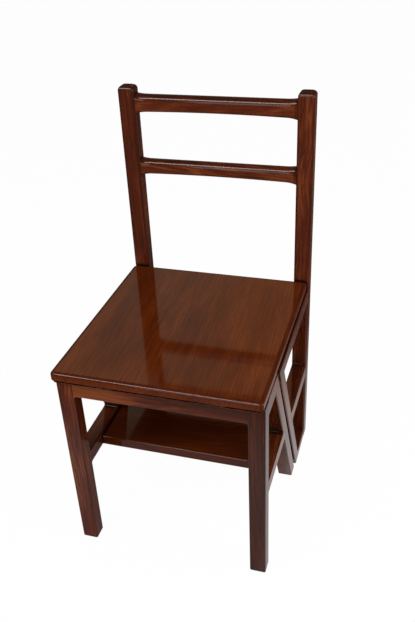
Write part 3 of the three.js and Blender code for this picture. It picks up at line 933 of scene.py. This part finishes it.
def apron():
    """The board across the front, with a fillet under each end and the lower leaves let in."""
    _, y, z = ranges("front_apron")
    f = JOINT_FILLET
    rings = []
    for x in apron_stations():
        inside = min(max(LEG_INNER - abs(x), 0.0), f)
        drop = f - math.sqrt(max(0.0, f**2 - (f - inside) ** 2))
        section = rounded_rectangle(y, (z[0] - drop, z[1]), FRAME_ARRIS)
        rings.append([(x, u, v) for u, v in section])
    obj = lofted("front_apron_wood", rings)
    over = z[1] + CUT_OVERRUN
    front = y[0] - CUT_OVERRUN
    bottom = z[1] - LEAF_THICKNESS - HINGE_CLEARANCE
    carve(obj, [leaf_recess(side, "lower", front, (bottom, over)) for side in SIDES])
    finish_timber(obj, "front_apron", ALONG_X)


# Studio


def make_floor():
    bm = bmesh.new()
    bmesh.ops.create_grid(bm, x_segments=1, y_segments=1, size=FLOOR_SIZE)
    floor = object_from("floor", bm)
    floor.data.materials.append(floor_material())


def make_world():
    """White to the camera. In reflections it is a dim room with a warm glow behind the chair."""
    world = bpy.data.worlds.new("studio")
    bpy.context.scene.world = world
    n = Nodes(world, "OutputWorld")
    direction = n.add("TexCoord").outputs["Generated"]
    x, y, z = n.add("SeparateXYZ", {0: direction}).outputs
    above = n.spread(z, *GLOW_RISES_Z)
    glow = n.maths("MULTIPLY", above, n.spread(z, *GLOW_FALLS_Z, 1.0, GLOW_ABOVE))
    glow = n.maths("MULTIPLY", glow, n.spread(y, *GLOW_BEHIND_Y))
    glow = n.maths("MULTIPLY", glow, n.spread(x, *GLOW_ENDS_X, 1.0, 0.0))
    glow_colour = n.tint(n.spread(x, *GLOW_TURNS_X), opaque(PALE_GLOW), opaque(WARM_GLOW))
    room = n.tint(glow, opaque(DIM_ROOM), glow_colour)
    colour = n.tint(n.ray_share("Glossy", "Transmission"), opaque(AMBIENT), room)
    colour = n.tint(n.ray_share("Camera"), colour, opaque(WHITE))
    n.done(n.add("Background", {"Color": colour, "Strength": 1.0}).outputs[0])


def softbox(name, place, width, height, power):
    data = bpy.data.lights.new(name, "AREA")
    data.shape = "RECTANGLE"
    data.size = width
    data.size_y = height
    data.energy = power
    lamp = new_object(name, data)
    lamp.location = place
    aim = Vector(LIT_PLACE) - Vector(place)
    lamp.rotation_euler = aim.to_track_quat("-Z", "Y").to_euler()


def make_camera():
    azimuth = math.radians(CAMERA_AZIMUTH)
    elevation = math.radians(CAMERA_ELEVATION)
    roll = math.radians(CAMERA_ROLL)
    back = Vector((
        math.sin(azimuth) * math.cos(elevation),
        -math.cos(azimuth) * math.cos(elevation),
        math.sin(elevation),
    ))
    level = Vector((math.cos(azimuth), math.sin(azimuth), 0.0))
    upward = back.cross(level)
    right = level * math.cos(roll) + upward * math.sin(roll)
    up = back.cross(right)
    data = bpy.data.cameras.new("camera")
    data.sensor_width = SENSOR_SIZE
    data.lens = CAMERA_FOCAL_PIXELS / FRAME_HEIGHT_PIXELS * SENSOR_SIZE
    camera = new_object("camera", data)
    x, y, z = CAMERA_FROM_FRONT_EDGE
    turn = Matrix((right, up, back)).transposed().to_4x4()
    camera.matrix_world = Matrix.Translation((x, FRONT_EDGE + y, z)) @ turn
    bpy.context.scene.camera = camera


# Build the chair, then the studio

timber = {slot: timber_material(**wood) for slot, wood in WOODS.items()}
brass = brass_material()

for side in SIDES:
    upright(f"front_leg_{side}", FRAME_ARRIS, LEG_TOP_ARRIS)
    upright(f"back_post_{side}", POST_ARRIS, POST_TOP_DOME)
    diagonal(
        f"front_diagonal_leg_{side}", front_diagonal_front, FRONT_DIAGONAL_SPAN,
        FRONT_DIAGONAL_TOP,
    )
    diagonal(f"rear_diagonal_{side}", behind_gap, REAR_DIAGONAL_SPAN, REAR_DIAGONAL_TOP)
    side_rail(f"front_top_rail_{side}", leg_rear, inside_seam, down=(True, False))
    side_rail(
        f"front_lower_rail_{side}", leg_rear, front_diagonal_front,
        up=(True, True), down=(True, True),
    )
    side_rail(f"seat_side_rail_{side}", inside_gap, post_front, down=(False, True))
    side_rail(
        f"upper_step_rail_{side}", rear_diagonal_rear, post_front,
        up=(True, True), down=(True, True),
    )
    side_rail(f"bottom_rail_{side}", rear_diagonal_rear, post_front, up=(True, True))

for node in ("lower_tread", "middle_tread"):
    cross_board(node, LEG_INNER + RAIL_EMBED)
for node in ("seat_back_rail", "upper_step_tread", "bottom_step_tread"):
    cross_board(node, POST_INNER + RAIL_EMBED)

seat_board()
apron()
for node in BACK_RAILS:
    back_rail(node)

for node, obj in frame["nodes"].items():
    if node.startswith("hinge_"):
        obj.data.materials.clear()
        obj.data.materials.append(brass)

make_floor()
make_world()
for lamp in SOFTBOXES:
    softbox(*lamp)
make_camera()
bpy.context.scene.view_settings.view_transform = "Standard"
